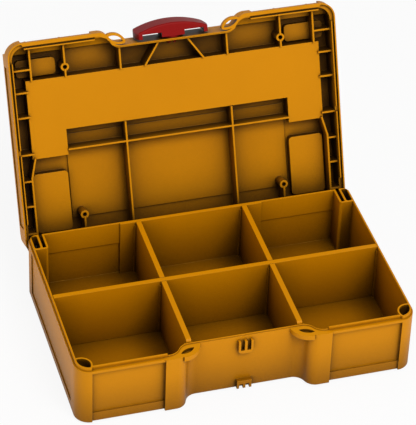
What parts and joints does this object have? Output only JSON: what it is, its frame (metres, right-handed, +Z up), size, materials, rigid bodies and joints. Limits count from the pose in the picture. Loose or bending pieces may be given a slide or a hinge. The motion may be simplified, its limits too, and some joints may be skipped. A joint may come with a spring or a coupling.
{
  "type": "stackable tool case",
  "caption": "Small stackable plastic case, open, with lift-out dividers, a hinged ribbed lid and a turning front latch.",
  "frame": {"origin": "under the middle of the base in plan, at the level of the feet's soles", "axes": "+X to the right along the hinge, +Y towards the hinge at the back, +Z up"},
  "size_m": [0.2656, 0.2484, 0.1925],
  "materials": {
    "case_plastic": "fine satin moulded ABS, amber orange",
    "latch_plastic": "satin moulded ABS, dark red",
    "steel": "plain turned steel"
  },
  "bodies": {
    "base": {"base_shell": "case_plastic", "hinge_pin_left": "steel", "hinge_pin_right": "steel"},
    "lid": {"lid_shell": "case_plastic"},
    "latch": {"latch_knob": "latch_plastic"},
    "long_divider": {"long_divider": "case_plastic"},
    "rear_divider_left": {"rear_divider_left": "case_plastic"},
    "rear_divider_right": {"rear_divider_right": "case_plastic"},
    "front_divider_left": {"front_divider_left": "case_plastic"},
    "front_divider_right": {"front_divider_right": "case_plastic"}
  },
  "joints": [
    {"name": "lid_hinge", "type": "hinge", "parent": "base", "child": "lid", "pos_m": [0, 0.0765, 0.0445], "axis": [-1, 0, 0], "range_deg": [-111.4, 0]},
    {"name": "latch_turn", "type": "hinge", "parent": "lid", "child": "latch", "pos_m": [0, 0.14846, 0.17741], "axis": [0, 0.3649, 0.9311], "range_deg": [-90, 90]},
    {"name": "long_divider_lift", "type": "slide", "parent": "base", "child": "long_divider", "axis": [0, 0, 1], "range_m": [0, 0.055]},
    {"name": "rear_divider_left_lift", "type": "slide", "parent": "base", "child": "rear_divider_left", "axis": [0, 0, 1], "range_m": [0, 0.055]},
    {"name": "rear_divider_right_lift", "type": "slide", "parent": "base", "child": "rear_divider_right", "axis": [0, 0, 1], "range_m": [0, 0.055]},
    {"name": "front_divider_left_lift", "type": "slide", "parent": "base", "child": "front_divider_left", "axis": [0, 0, 1], "range_m": [0, 0.055]},
    {"name": "front_divider_right_lift", "type": "slide", "parent": "base", "child": "front_divider_right", "axis": [0, 0, 1], "range_m": [0, 0.055]}
  ]
}
